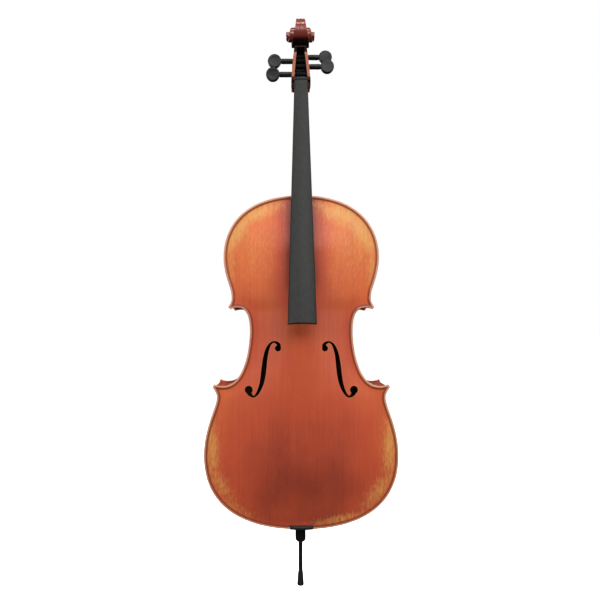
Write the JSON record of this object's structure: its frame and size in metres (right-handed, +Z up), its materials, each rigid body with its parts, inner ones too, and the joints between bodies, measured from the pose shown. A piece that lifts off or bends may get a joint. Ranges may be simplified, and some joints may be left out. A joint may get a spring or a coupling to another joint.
{
  "type": "cello",
  "caption": "Full-size cello body with carved plates, neck, scroll, fitted tuning pegs, fingerboard and a sliding endpin, without strings, bridge or tailpiece.",
  "frame": {"origin": "the centre of the flat end face of the endpin's rubber tip, where it meets the floor", "axes": "+Z up along the endpin to the scroll, -Y out of the front plate, +X to the right of someone facing the front plate"},
  "size_m": [0.444, 0.2381, 1.3605],
  "materials": {
    "spruce_varnish": "glossy red-brown oil varnish over straight-grained spruce",
    "maple_varnish": "glossy red-brown oil varnish over flamed maple",
    "purfling": "dark inlaid strip under varnish",
    "bare_wood": "bare planed willow",
    "bare_spruce": "bare planed spruce",
    "ebony": "oiled dark hardwood, satin",
    "peg_wood": "turned and polished dark hardwood",
    "endpin_wood": "turned dark hardwood",
    "endpin_fitting": "black, satin",
    "endpin_rod": "black, satin",
    "rubber": "matte moulded"
  },
  "bodies": {
    "body": {"front_plate_bass": "spruce_varnish", "back_plate_bass": "maple_varnish", "purfling_front_bass": "purfling", "purfling_back_bass": "purfling", "rib_upper_bass": "maple_varnish", "lining_front_upper_bass": "bare_wood", "lining_back_upper_bass": "bare_wood", "rib_middle_bass": "maple_varnish", "lining_front_middle_bass": "bare_wood", "lining_back_middle_bass": "bare_wood", "rib_lower_bass": "maple_varnish", "lining_front_lower_bass": "bare_wood", "lining_back_lower_bass": "bare_wood", "corner_block_upper_bass": "bare_wood", "corner_block_lower_bass": "bare_wood", "front_plate_treble": "spruce_varnish", "back_plate_treble": "maple_varnish", "purfling_front_treble": "purfling", "purfling_back_treble": "purfling", "rib_upper_treble": "maple_varnish", "lining_front_upper_treble": "bare_wood", "lining_back_upper_treble": "bare_wood", "rib_middle_treble": "maple_varnish", "lining_front_middle_treble": "bare_wood", "lining_back_middle_treble": "bare_wood", "rib_lower_treble": "maple_varnish", "lining_front_lower_treble": "bare_wood", "lining_back_lower_treble": "bare_wood", "corner_block_upper_treble": "bare_wood", "corner_block_lower_treble": "bare_wood", "top_block": "bare_wood", "bottom_block": "bare_wood", "bass_bar": "bare_spruce", "sound_post": "bare_spruce", "neck_and_scroll": "maple_varnish", "fingerboard": "ebony", "nut": "ebony", "saddle": "ebony", "endpin_plug": "endpin_wood", "endpin_collar": "endpin_fitting"},
    "peg_c": {"peg_c": "peg_wood"},
    "peg_a": {"peg_a": "peg_wood"},
    "peg_g": {"peg_g": "peg_wood"},
    "peg_d": {"peg_d": "peg_wood"},
    "thumb_screw": {"thumb_screw": "endpin_fitting"},
    "endpin_rod": {"endpin_rod": "endpin_rod"},
    "rubber_tip": {"rubber_tip": "rubber"}
  },
  "joints": [
    {"name": "peg_c_turn", "type": "hinge", "parent": "body", "child": "peg_c", "pos_m": [0, -0.0121, 1.21594], "axis": [-1, 0, 0], "continuous": true},
    {"name": "peg_a_turn", "type": "hinge", "parent": "body", "child": "peg_a", "pos_m": [0, -0.00044, 1.24021], "axis": [1, 0, 0], "continuous": true},
    {"name": "peg_g_turn", "type": "hinge", "parent": "body", "child": "peg_g", "pos_m": [0, 0.00895, 1.25778], "axis": [-1, 0, 0], "continuous": true},
    {"name": "peg_d_turn", "type": "hinge", "parent": "body", "child": "peg_d", "pos_m": [0, 0.01878, 1.27222], "axis": [1, 0, 0], "continuous": true},
    {"name": "thumb_screw_turn", "type": "hinge", "parent": "body", "child": "thumb_screw", "pos_m": [0, 0.0133, 0.129], "axis": [0, 1, 0], "range_deg": [0, 270]},
    {"name": "endpin_slide", "type": "slide", "parent": "body", "child": "endpin_rod", "axis": [0, 0, -1], "range_m": [-0.072, 0.225]},
    {"name": "rubber_tip_pull", "type": "slide", "parent": "endpin_rod", "child": "rubber_tip", "axis": [0, 0, -1], "range_m": [0, 0.045]}
  ]
}
